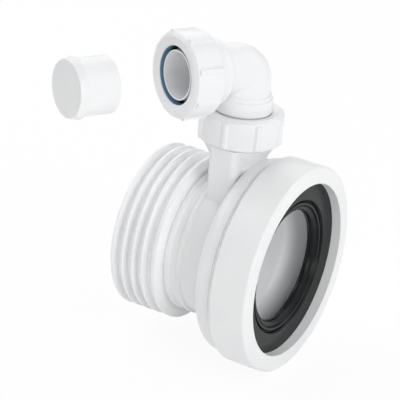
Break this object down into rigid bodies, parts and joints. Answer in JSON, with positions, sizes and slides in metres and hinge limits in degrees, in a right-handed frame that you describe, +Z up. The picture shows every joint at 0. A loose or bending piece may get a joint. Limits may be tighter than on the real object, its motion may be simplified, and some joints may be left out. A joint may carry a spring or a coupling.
{
  "type": "toilet pan connector",
  "caption": "Straight toilet pan connector with a finned soil outlet, a waste boss on top, a swivel bend in the boss and a blanking cap drawn off it.",
  "frame": {"origin": "centre of the inlet mouth, on the soil way's axis", "axes": "+X out of the inlet mouth along the soil way, +Z up along the boss"},
  "size_m": [0.1266, 0.1919, 0.2196],
  "materials": {
    "connector_body": "moulded white polypropylene",
    "inlet_ring": "moulded white polypropylene, smooth",
    "inlet_seal": "black moulded rubber, satin",
    "outlet_fin_seal": "soft white moulded seal, satin",
    "boss_nut": "moulded white polypropylene",
    "boss_washer": "blue slip washer",
    "boss_seal": "black moulded rubber",
    "swivel_bend": "moulded white polypropylene",
    "bend_nut": "moulded white polypropylene",
    "bend_washer": "blue slip washer",
    "bend_seal": "black moulded rubber",
    "blank_cap": "moulded white polypropylene"
  },
  "bodies": {
    "connector": {"connector_body": "connector_body", "inlet_ring": "inlet_ring", "inlet_seal": "inlet_seal", "outlet_fin_seal": "outlet_fin_seal", "boss_washer": "boss_washer", "boss_seal": "boss_seal"},
    "boss_nut": {"boss_nut": "boss_nut"},
    "bend": {"swivel_bend": "swivel_bend", "bend_washer": "bend_washer", "bend_seal": "bend_seal"},
    "bend_nut": {"bend_nut": "bend_nut"},
    "cap": {"blank_cap": "blank_cap"}
  },
  "joints": [
    {"name": "bend_swivel", "type": "hinge", "parent": "connector", "child": "bend", "pos_m": [-0.0527, 0, 0.12425], "axis": [0, 0, 1], "continuous": true},
    {"name": "boss_nut_turn", "type": "hinge", "parent": "connector", "child": "boss_nut", "pos_m": [-0.0527, 0, 0.097], "axis": [0, 0, 1], "range_deg": [0, 540]},
    {"name": "bend_nut_turn", "type": "hinge", "parent": "bend", "child": "bend_nut", "pos_m": [-0.07716, -0.04864, 0.12425], "axis": [-0.4493, -0.8934, 0], "range_deg": [0, 540]},
    {"name": "cap_slide", "type": "slide", "parent": "bend", "child": "cap", "axis": [0.4493, 0.8934, 0], "range_m": [0, 0.0688]}
  ]
}
